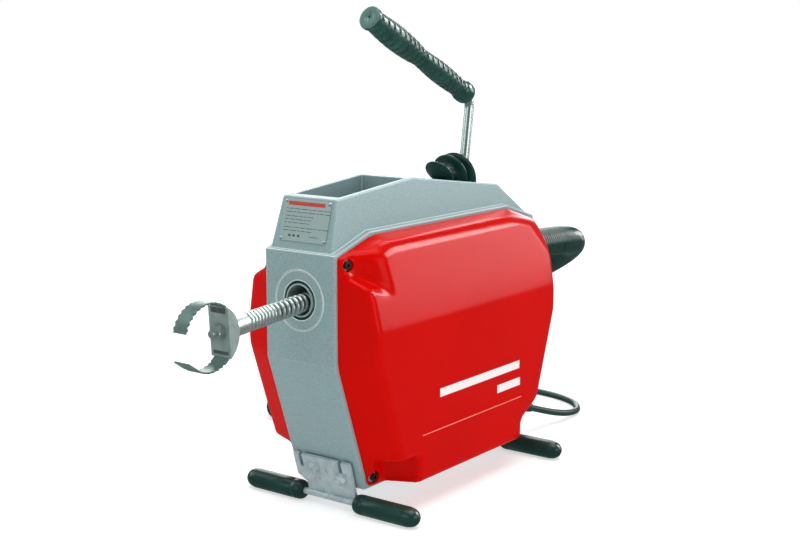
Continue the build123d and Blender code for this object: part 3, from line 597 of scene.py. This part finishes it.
# each recess with how softly its edge meets the cover
RECESSES = [(UPPER_RECESS, 8.0), (LOWER_RECESS, 5.0), (REAR_RECESS, 5.0)]
RIM = 50.0                # the cover's edge on the frame, in x
RIM_REACH = 14.0          # how far from the edge the rounding is still growing
COVER_WALL = 3.0
COVER_CENTRE = (-150.0, 205.0, 150.0)
COVER_RAYS = 336
COVER_RINGS = 84
HALVINGS = 34
SINKS = [(15.2, 265.6), (60.7, 14.6), (REAR - 15.2, 265.6), (REAR - 60.7, 14.6)]
SINK_R = 7.0
SINK_HOLE_R = 2.8
SINK_WALL = 1.6
SINK_FLOOR = 0.9
SINK_FOOT = 51.2


def soft_max(a, b, blend):
    """The larger of two values, rounded where they are about the same."""
    blend = np.maximum(blend, 1e-6)
    gap = np.maximum(blend - np.abs(a - b), 0) / blend
    return np.maximum(a, b) + gap * gap * blend / 4


def plane_height(points, face):
    """How far points lie in front of a plane."""
    origin, normal = np.array(face[0], float), np.array(face[1], float)
    return (points - origin) @ (normal / np.linalg.norm(normal))


def cover_height(points):
    """How far points lie outside the right cover's surface, in millimetres."""
    whole = None
    crisp = np.clip((points[:, 0] - RIM) / RIM_REACH, 0.08, 1.0)
    for meet, inner, faces in COVER_GROUPS:
        group = plane_height(points, faces[0])
        for face in faces[1:]:
            group = soft_max(group, plane_height(points, face), inner)
        whole = group if whole is None else soft_max(whole, group, meet * crisp)
    for faces, lip in RECESSES:
        recess = plane_height(points, faces[0][1])
        for blend, face in faces[1:]:
            recess = soft_max(recess, plane_height(points, face), blend)
        whole = soft_max(whole, -recess, lip)
    return whole


def cover_reach(start, rays, inset):
    """Where rays from a point inside meet the surface, moved in by inset, within three lengths."""
    near, far = np.zeros(len(rays)), np.full(len(rays), 3.0)
    for _ in range(HALVINGS):
        middle = (near + far) / 2
        outside = cover_height(start + rays * middle[:, None]) > -inset
        far = np.where(outside, middle, far)
        near = np.where(outside, near, middle)
    return start + rays * near[:, None]


def cover_rim(inset):
    """Points evenly round the cover's edge on the frame's side."""
    start = np.array([RIM, *COVER_CENTRE[1:]])
    angles = np.linspace(0, math.tau, 2400, endpoint=False)
    rays = np.stack([np.zeros_like(angles), np.cos(angles), np.sin(angles)], axis=1) * 250
    rim = cover_reach(start, rays, inset)
    steps = np.linalg.norm(np.roll(rim, -1, axis=0) - rim, axis=1)
    along = np.concatenate([[0], np.cumsum(steps)])
    closed = np.vstack([rim, rim[:1]])
    wanted = np.linspace(0, along[-1], COVER_RAYS, endpoint=False)
    return np.stack([np.interp(wanted, along, closed[:, axis]) for axis in range(3)], axis=1)


def cover_shell(inset, rings):
    """Rings of points over the cover's surface, from its edge to near its middle."""
    centre = np.array(COVER_CENTRE)
    middle = np.array([RIM, *COVER_CENTRE[1:]])
    rim = cover_rim(inset)
    found = [rim]
    for index in range(1, rings):
        share = 1 - index / rings
        target = middle + (rim - middle) * share
        found.append(cover_reach(centre, target - centre, inset))
    return found


def screw_cups(name, side):
    """Cylinders round the places of a cover's screws, to cut it with."""
    mesh = bpy.data.meshes.new(name)
    form = bmesh.new()
    for y, z in SINKS:
        place = Matrix.Translation(at(side * 76, y, z)) @ Matrix.Rotation(math.pi / 2, 4, "Y")
        bmesh.ops.create_cone(form, cap_ends=True, segments=40, radius1=SINK_R * MM, radius2=SINK_R * MM,
                              depth=50 * MM, matrix=place)
    form.to_mesh(mesh)
    form.free()
    cups = bpy.data.objects.new(name, mesh)
    bpy.context.scene.collection.objects.link(cups)
    return cups


def cut_away(piece, cutter):
    """Take one object's solid out of another, for good."""
    cut = piece.modifiers.new("sinks", "BOOLEAN")
    cut.object = cutter
    cut.solver = "EXACT"
    bpy.context.view_layer.update()
    cut_piece = piece.evaluated_get(bpy.context.evaluated_depsgraph_get())
    shaped = bpy.data.meshes.new_from_object(cut_piece)
    piece.modifiers.clear()
    piece.data = shaped
    bpy.data.objects.remove(cutter)


def make_cover(name, side, outer, inner):
    """A moulded shell with rounded edges, its screws sunk in."""
    rings = []
    for points in list(reversed(outer)) + inner:
        rings.append([at(side * x, y, z) for x, y, z in points])
    mesh = skin(name + "_shell", rings)
    cover = add_piece(name + "_shell", mesh, "red_shell", "root", [name])
    cut_away(cover, screw_cups(name + "_cups", side))
    cover.data.shade_smooth()
    cover.data.set_sharp_from_angle(angle=math.radians(38))
    for index, (y, z) in enumerate(SINKS):
        make_sink(f"{name}_sink_{index}", side, y, z)


def make_sink(name, side, y, z):
    """The cup that a cover screw sits in, as deep as the cover is thick there."""
    outside = SINK_R + SINK_WALL
    turns = np.linspace(0, math.tau, 16)
    starts = np.stack([np.full(16, RIM), y + outside * np.cos(turns), z + outside * np.sin(turns)], axis=1)
    surface = cover_reach(starts, np.array([[60.0, 0, 0]] * 16), COVER_WALL / 2)
    top = max(surface[:, 0].min() - SINK_FOOT, SINK_WALL)
    profile = [
        (0, SINK_HOLE_R), (0, outside), (top, outside), (top, SINK_R), (SINK_FLOOR, SINK_R),
        (SINK_FLOOR, SINK_HOLE_R),
    ]
    foot, out = at(side * SINK_FOOT, y, z), Vector((side, 0, 0))
    rings = [ring(foot + out * d * MM, out, r * MM, 40) for d, r in profile]
    mesh = skin(name, rings + rings[:1], closed_ends=False)
    cup = add_piece(name, mesh, "red_shell", "root", smooth=False)


def make_covers():
    """Both covers from one surface: the left one mirrors the right."""
    outer = cover_shell(0.0, COVER_RINGS)
    inner = cover_shell(COVER_WALL, COVER_RINGS // 4)
    make_cover("cover_right", 1, outer, inner)
    make_cover("cover_left", -1, outer, inner)


# ---------------------------------------------------------------------- spiral and claw
SPIRAL_AXIS = Vector(joints["spiral_spin"]["axis"])
SPIRAL_CROSS = Vector(joints["spiral_spin"]["pos_m"])
WIRE_R = 2.55 * MM
WIRE_COIL_R = 8.45 * MM
COIL_FRONT = 144.6 * MM
COIL_TAIL = -44 * MM
OPEN_COILS = (6 * MM, 99 * MM)
OPEN_PITCH = 7.6 * MM
CLOSE_PITCH = 5.15 * MM
WIRE_POINTS = 16          # points on each coil


def on_spiral(along, across=(0, 0)):
    """A point in front of the spindle's crossing point, and off the spiral's axis."""
    level, up = frame_across(SPIRAL_AXIS)
    return SPIRAL_CROSS - SPIRAL_AXIS * along + level * across[0] + up * across[1]


def make_spiral():
    """The spring: one wire wound close, and open near the spindle's mouth."""
    points, along, angle = [], COIL_TAIL, 0.0
    while along < COIL_FRONT - WIRE_R:
        offset = (math.cos(angle) * WIRE_COIL_R, math.sin(angle) * WIRE_COIL_R)
        points.append(on_spiral(along + WIRE_R, offset))
        pitch = OPEN_PITCH if OPEN_COILS[0] < along < OPEN_COILS[1] else CLOSE_PITCH
        along += pitch / WIRE_POINTS
        angle += math.tau / WIRE_POINTS
    curve = nurbs("spiral_wire", points, 2)
    thicken(curve, WIRE_R, 4)
    wire = add_piece("spiral_wire", curve, "spring_steel", "spiral", ["spiral_coil"], False)


CLAW_CENTRE = 204 * MM
CLAW_R = 36 * MM
BLADE_HALF = 10.5 * MM
BLADE_THICKNESS = 1.9 * MM
TOOTH_PITCH = 6.6 * MM
TOOTH_DEPTH = 2.1 * MM
EDGE_SLANT = 0.125 * MM   # how much narrower the blade's outer face is on each side
BEND_STEPS = 90
TIP_STEPS = 8
HEAD_FRONT = 182.15 * MM
# the size of the dark boxes painted as the slots' shade
SLOT_HALF_WIDTH = 10.6
SLOT_DEPTH = 1.5 * MM
CORNERS = ((-1, -1), (1, -1), (1, 1), (-1, 1))


def blade_line(first, last, tip):
    """(distance, along, up) stations of a blade bent round the claw's centre, with a straight tip."""
    sense = 1 if last > first else -1
    stations = []
    for index in range(BEND_STEPS + 1):
        angle = math.radians(first + (last - first) * index / BEND_STEPS)
        run = CLAW_R * abs(angle - math.radians(first))
        stations.append((run, CLAW_CENTRE - CLAW_R * math.cos(angle), CLAW_R * math.sin(angle)))
    run, along, up = stations[-1]
    angle = math.radians(last)
    heading = (sense * math.sin(angle), sense * math.cos(angle))
    for step in range(1, TIP_STEPS + 1):
        move = tip * step / TIP_STEPS
        stations.append((run + move, along + heading[0] * move, up + heading[1] * move))
    return stations


def tooth(run, start, stop):
    """How deep the blade's edge is cut at this distance along it."""
    if not start < run < stop:
        return 0.0
    share = (run / TOOTH_PITCH) % 1.0
    return TOOTH_DEPTH * (1 - abs(2 * share - 1) ** 1.6)


def make_blade(name, first, last, tip, teeth):
    """A strip bent from one angle to another, toothed between two distances along it."""
    stations = blade_line(first, last, tip)
    rings = []
    for index, (run, along, up) in enumerate(stations):
        before = stations[max(0, index - 1)]
        after = stations[min(len(stations) - 1, index + 1)]
        heading = Vector((after[1] - before[1], after[2] - before[2])).normalized()
        out = Vector((-heading[1], heading[0])) * BLADE_THICKNESS / 2
        half = BLADE_HALF - tooth(run, *teeth)
        corners = []
        for side, lift in CORNERS:
            reach = half - EDGE_SLANT if lift > 0 else half
            corners.append(on_spiral(along + lift * out[0], (side * reach, up + lift * out[1])))
        rings.append(corners)
    blade = add_piece(name + "_strip", skin(name, rings), "blade_steel", "spiral", [name], smooth=False)
    soften(blade, 0.35 * MM)


def make_slot_shade(name, up, height):
    """Painted shade: a thin dark box where a blade passes through the head's front face, in place of the shaded
    gap.
    """
    rings = []
    for along in (HEAD_FRONT - SLOT_DEPTH, HEAD_FRONT):
        rings.append([
            on_spiral(along, (side * SLOT_HALF_WIDTH * MM, (up + lift * height / 2) * MM))
            for side, lift in CORNERS
        ])
    add_piece(name, skin(name, rings), "print_dark", "spiral", smooth=False)


def make_claw():
    """Two toothed blades that come out of the head and bend towards each other."""
    # dark boxes painted as the shade in the head's blade slots
    make_slot_shade("cutter_slot_shade_upper", 23.2, 6.0)
    make_slot_shade("cutter_slot_shade_lower", -22.3, 3.6)
    make_blade("cutter_blade_upper", 48, 158, 1.5 * MM, (16 * MM, 70 * MM))
    make_blade("cutter_blade_lower", -38, -128, 16 * MM, (16 * MM, 56 * MM))


# ------------------------------------------------------------------------------ lever
LEVER_END = at(0, 127.0, 530.0)
LEVER_CORNER = at(0, 333.9, 431.2)
# (distance from the free end, radius) in millimetres of the two-lobed grip's outline
GRIP_OUTLINE = [
    (0.1, 12.9), (0.8, 14.0), (2.2, 14.5), (5.0, 14.5), (6.4, 13.8), (8, 12.7),
    (16, 13.5), (25, 14.3), (38, 15.1), (50, 15.4), (64, 15.2), (78, 14.4), (90, 13.1), (102, 11.5),
    (112, 12.1), (124, 12.9), (135, 13.5), (146, 13.7), (160, 13.4), (172, 12.8), (182, 12.1), (190, 11.6),
    (192.5, 13.4), (196, 14.2), (200, 14.4), (205, 13.9), (208, 12.2), (209.3, 8.6),
]
GRIP_RIBS = (9.5, 189)    # where the ribs start and stop, from the free end
GRIP_RIB_PITCH = 10.4
GRIP_RIB_DEPTH = 2.0
GRIP_RIB_FLANK = 0.42     # the share of half a rib that slopes
GRIP_RIB_SLANT = 1.8
GRIP_STRETCH = 1.06       # the photo's grip is this much longer than the CAD's
GRIP_POINTS = 56


def outline_at(outline, distance):
    """The radius of a (distance, radius) outline at a distance."""
    for (d0, r0), (d1, r1) in zip(outline, outline[1:]):
        if d0 <= distance <= d1:
            return r0 + (r1 - r0) * (distance - d0) / max(1e-9, d1 - d0)
    return outline[-1][1]


def rib_cut(distance, angle):
    """How deep the grip's groove is: ribs with flat tops, slanting a little round the grip."""
    slanted = distance + GRIP_RIB_SLANT * math.sin(angle)
    start, stop = GRIP_RIBS
    if not start < slanted < stop:
        return 0.0
    share = ((slanted - start) / GRIP_RIB_PITCH) % 1.0
    rise = min(share, 1 - share) * 2
    return GRIP_RIB_DEPTH * (1 - min(1.0, rise / GRIP_RIB_FLANK)) ** 1.4


def grip_distances():
    """Where the grip's rings lie: close at its rounded ends, and even over its ribs."""
    free_end = [0.1, 0.8, 1.4, 2.2, 3.5, 5.0, 5.7, 6.4, 7.2, 8.0]
    ribs = [8.0 + 0.8 * step for step in range(1, 228)]
    collar = [191, 191.8, 192.5, 194, 196, 198, 200, 202.5, 205, 206.5, 208, 209.3]
    return sorted(set(round(distance, 2) for distance in free_end + ribs + collar))


def make_grip():
    """The two-lobed rubber grip, with slanting ribs and a paler end face with a small hole."""
    direction = (LEVER_CORNER - LEVER_END).normalized()
    u, v = frame_across(direction)
    hole = (LEVER_END + direction * depth * MM for depth in (4.0, 0.1))
    rings = [ring(centre, direction, 1.5 * MM, GRIP_POINTS) for centre in hole]
    for distance in grip_distances():
        points = []
        for index in range(GRIP_POINTS):
            angle = math.tau * index / GRIP_POINTS
            radius = (outline_at(GRIP_OUTLINE, distance) - rib_cut(distance, angle)) * MM
            points.append(LEVER_END + direction * distance * GRIP_STRETCH * MM
                          + (u * math.cos(angle) + v * math.sin(angle)) * radius)
        rings.append(points)
    mesh = skin("lever_grip_rubber", rings)
    grip = add_piece("lever_grip_rubber", mesh, "grip_rubber", "lever", ["lever_grip"])
    mesh.materials.append(finishes["grip_end"].material)
    for face in mesh.polygons:
        face.material_index = int((Vector(face.center) - LEVER_END).dot(direction) < 0.75 * MM)


# (y, z, radius, lean of the pleat's normal from upright in degrees) of the boot's pleats
PLEATS = [(267, 341, 19.3, 50), (290.5, 338.5, 25.3, 70), (302, 332.5, 31.4, 85)]
PLEAT_SECTION = [
    (-4.8, 0.50), (-3.0, 0.70), (-1.9, 0.88), (-1.2, 0.96), (-0.5, 0.995), (0.5, 0.995), (1.2, 0.96),
    (1.9, 0.88), (3.0, 0.70), (4.8, 0.50),
]
# (y, z, radius) of the neck that holds the rod behind the last pleat
NECK = [(309, 332, 15.5), (314, 332.5, 13.6), (322, 333, 12.8), (328, 332.5, 11.6), (330, 332, 9.0)]
ROOF_LINE = (at(0, 163, 345.8), at(0, 337, 322.8))
BOOT_POINTS = 56


def make_bellows():
    """Three round pleats that lean back with the lever, cut off just under the roof."""
    rings = []
    for y, z, radius, lean in PLEATS:
        normal = Vector((0, math.sin(math.radians(lean)), math.cos(math.radians(lean))))
        centre = at(0, y, z)
        for shift, share in PLEAT_SECTION:
            rings.append(ring(centre + normal * shift * MM, normal, radius * share * MM, BOOT_POINTS))
    rings += [ring(at(0, y, z), normal, radius * MM, BOOT_POINTS) for y, z, radius in NECK]
    mesh = skin("lever_boot", rings)
    form = bmesh.new()
    form.from_mesh(mesh)
    along = ROOF_LINE[1] - ROOF_LINE[0]
    up = Vector((1, 0, 0)).cross(along).normalized()
    everything = form.verts[:] + form.edges[:] + form.faces[:]
    bmesh.ops.bisect_plane(form, geom=everything, plane_co=ROOF_LINE[0], plane_no=up, clear_inner=True)
    form.to_mesh(mesh)
    form.free()
    boot = add_piece("lever_boot", mesh, "black_rubber", "", ["lever_bellows"])
    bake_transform(boot)


# ------------------------------------------------------------------------------- feet
FOOT_BAR = (50.0, -17.6)      # the front bar's y and z
# (distance from the middle, radius) in millimetres of a foot bar's rubber sleeve
SLEEVE = [
    (38.0, 4.2), (38.0, 7.2), (38.8, 8.9), (40.4, 10.3), (43, 11.3), (46.5, 11.7), (52, 11.7),
    (52.6, 11.35), (53.4, 11.35), (54, 11.7), (80, 11.7), (111, 11.7), (113.6, 11.65), (115.2, 11.2),
    (117.5, 10.9), (120, 10.1), (122.4, 8.8), (124.4, 7.0), (126, 4.6), (126.8, 2.0), (127.0, 0.3),
]


def make_sleeves():
    """The rubber sleeves on the ends of both foot bars."""
    profile = [(d * MM, r * MM) for d, r in SLEEVE]
    for end, y in (("front", FOOT_BAR[0]), ("rear", REAR - FOOT_BAR[0])):
        for side, word in ((-1, "left"), (1, "right")):
            name = f"foot_sleeve_{end}_{word}"
            mesh = lathe(name, at(0, y, FOOT_BAR[1]), (side, 0, 0), profile, 40)
            sleeve = add_piece(name, mesh, "black_rubber", "root", ["foot_grips"])


PANEL_UP = Vector((0, -52, 153)).normalized()       # up the front's sloped lower panel
PANEL_OUT = Vector((0, -153, -52)).normalized()
# (letter, x, distance up the panel, how far the screw stands out) of the foot screws
FOOT_SCREWS = [("a", -15, 22, 16), ("b", 24, 14, 11)]
THREAD_START = 7.0
THREAD_STEP = 0.625
THREAD_ROOT = 3.35
THREAD_CREST = 3.95


def thread_profile(stand):
    """(distance, radius) in millimetres of a thread, with a chamfered end."""
    profile = [(THREAD_START, 3.3)]
    for step in range(int((stand - THREAD_START - 0.6) / THREAD_STEP)):
        radius = THREAD_CREST if step % 2 else THREAD_ROOT
        profile.append((THREAD_START + 0.3 + THREAD_STEP * step, radius))
    return profile + [(stand - 0.1, 3.4), (stand + 0.15, 2.9)]


def make_threads():
    """The thread on the foot screws that stand out of the plates."""
    for end in ("front", "rear"):
        for letter, x, up, stand in FOOT_SCREWS:
            base = Vector((x, 52, 0)) + PANEL_UP * up + PANEL_OUT * 6
            out = PANEL_OUT.copy()
            if end == "rear":
                base.y, out.y = REAR - base.y, -out.y
            profile = [(d * MM, r * MM) for d, r in thread_profile(stand)]
            mesh = lathe(f"foot_thread_{end}_{letter}", at(*base), out, profile, 28)
            thread = add_piece(mesh.name, mesh, "zinc_steel", "root", smooth=False)


# ------------------------------------------------------------------- plate and its print
PLATE_FOOT = at(0, 11.3, 306.75)
PLATE_OUT = Vector((0, -56.5, 16)).normalized()
PLATE_UP = Vector((0, 16, 56.5)).normalized()
PLATE_SIZE = (67.0, 47.0)
PLATE_LIFT = 2.8
PLATE_CORNER = 3.0
PRINT_STRETCH = (1.12, 1.22)      # the print is laid out small and spread over the plate
PRINT_BASE, PRINT_TOP = 1.1, 1.26


def on_plate(x, y, out):
    """A point off the nameplate's middle, in millimetres."""
    return PLATE_FOOT + (Vector((1, 0, 0)) * x + PLATE_UP * (y + PLATE_LIFT) + PLATE_OUT * out) * MM


def make_nameplate():
    """The plate with rounded corners, a lighter edge, and a rivet in each corner."""
    half_x, half_y = PLATE_SIZE[0] / 2 - PLATE_CORNER, PLATE_SIZE[1] / 2 - PLATE_CORNER
    rings = []
    for out, grow in ((0.02, 0.0), (0.9, 0.0), (1.2, -0.35)):
        points = []
        for step in range(32):
            angle = math.tau * step / 32 + 0.001
            x = math.copysign(half_x, math.cos(angle)) + (PLATE_CORNER + grow) * math.cos(angle)
            y = math.copysign(half_y, math.sin(angle)) + (PLATE_CORNER + grow) * math.sin(angle)
            points.append(on_plate(x, y, out))
        rings.append(points)
    mesh = skin("nameplate_sheet", rings)
    plate = add_piece("nameplate_sheet", mesh, "plate", "root", ["nameplate"], False)
    dome = [(d * MM, r * MM) for d, r in ((0, 1.9), (0.25, 1.85), (0.6, 1.4), (0.85, 0.7), (0.9, 0.1))]
    for index, (a, b) in enumerate(CORNERS):
        foot = on_plate(a * (half_x + 0.3), b * (half_y + 0.3), 1.15)
        mesh = lathe(f"nameplate_rivet_{index}", foot, PLATE_OUT, dome, 20)
        rivet = add_piece(mesh.name, mesh, "chrome_steel", "root", ["nameplate_rivets"])


def plate_bar(form, x, y, width, height):
    """A thin bar of print on the nameplate."""
    x, y, width = x * PRINT_STRETCH[0], y * PRINT_STRETCH[1], width * PRINT_STRETCH[0]
    corners = []
    for depth in (PRINT_BASE, PRINT_TOP):
        for dx, dy in CORNERS:
            corners.append(form.verts.new(on_plate(x + dx * width / 2, y + dy * height / 2, depth)))
    for face in ((0, 1, 2, 3), (7, 6, 5, 4), (0, 4, 5, 1), (1, 5, 6, 2), (2, 6, 7, 3), (3, 7, 4, 0)):
        form.faces.new([corners[k] for k in face])


def make_print():
    """Generic print: a red band, then rows of short dashes where a plate has its data."""
    for name, look, rows in (
        ("nameplate_band", "print_red", [(15.4, [(-1, 47, 4.4)])]),
        ("nameplate_rows", "print_dark", dashes()),
    ):
        mesh = bpy.data.meshes.new(name)
        form = bmesh.new()
        for y, bars in rows:
            for x, width, height in bars:
                plate_bar(form, x, y, width, height)
        bmesh.ops.recalc_face_normals(form, faces=form.faces)
        form.to_mesh(mesh)
        form.free()
        add_piece(name, mesh, look, "root", smooth=False)


def dashes():
    """Rows of (y, [(x, width, height)]) in millimetres: dashes of four lengths, then four marks."""
    rows = []
    for row, y in enumerate((10.4, 7.4, 3.6, 0.6, -2.4, -6.6, -9.6)):
        bars, x, count = [], -26.0, 0
        limit = 24.0 if row in (0, 1, 5) else 6.0
        while x < limit:
            width = 3.0 + 1.9 * ((row * 7 + count * 5) % 4)
            bars.append((x + width / 2, width, 0.75))
            x += width + 1.4
            count += 1
        rows.append((y, bars))
    rows.append((-14.0, [(-17, 3.2, 2.6), (-11.5, 3.2, 2.6), (-5.5, 3.4, 2.6), (14, 11, 0.7)]))
    return rows


COVER_FACE = 96.0
MARK_THICKNESS = 0.5
# (name, finish, length, height, y, z) of the flat marks on a cover's main face
COVER_MARKS = [
    ("bar_long", "print_white", 172, 10, 220, 104), ("bar_short", "print_white", 52, 10, 282, 82),
    ("line", "moulded_line", 212, 1.3, 206, 61),
]


def make_cover_marks():
    """Plain white bars in place of any name, and the thin moulded line under them."""
    for side, word in ((1, "right"), (-1, "left")):
        for kind, look, length, height, y, z in COVER_MARKS:
            name = f"cover_{kind}_{word}"
            mesh = bpy.data.meshes.new(name)
            form = bmesh.new()
            bmesh.ops.create_cube(form, size=1.0)
            for vertex in form.verts:
                vertex.co = vertex.co * Vector((MARK_THICKNESS, length, height)) * MM
                vertex.co += at(side * COVER_FACE, y, z)
            form.to_mesh(mesh)
            form.free()
            mark = add_piece(name, mesh, look, "root", smooth=False)
            soften(mark, 0.2 * MM)


# ------------------------------------------------------------------------ strain relief
RELIEF_BACK = 30.0                # how far the sleeve reaches back into the gland
RELIEF_STEP = 0.52
RELIEF_RINGS = 60
RELIEF_R = (8.4, 5.9)             # its radius at the gland and 31 mm further on


def make_relief():
    """The ribbed sleeve that keeps the lead from kinking where it leaves the machine."""
    start, after = CORD_ROUTE[0], CORD_ROUTE[1]
    profile = []
    for step in range(RELIEF_RINGS):
        distance = step * RELIEF_STEP - RELIEF_BACK
        radius = RELIEF_R[0] + (RELIEF_R[1] - RELIEF_R[0]) * (distance + RELIEF_BACK) / 31
        groove = 0.9 if step % 8 in (5, 6) and step < 56 else 0.0
        profile.append((distance * MM, (radius - groove) * MM))
    mesh = lathe("strain_relief_sleeve", start, after - start, profile, 36)
    sleeve = add_piece("strain_relief_sleeve", mesh, "black_rubber", "root", ["strain_relief"])


make_camera()
make_paints()
make_steels()
make_other_metals()
make_rubbers()
make_inks()
paint_frame()
make_lights()
make_floor()
make_hose()
make_lead()
bpy.context.scene.view_settings.view_transform = "Standard"
make_covers()
make_spiral()
make_claw()
make_grip()
make_bellows()
make_sleeves()
make_threads()
make_nameplate()
make_print()
make_cover_marks()
make_relief()
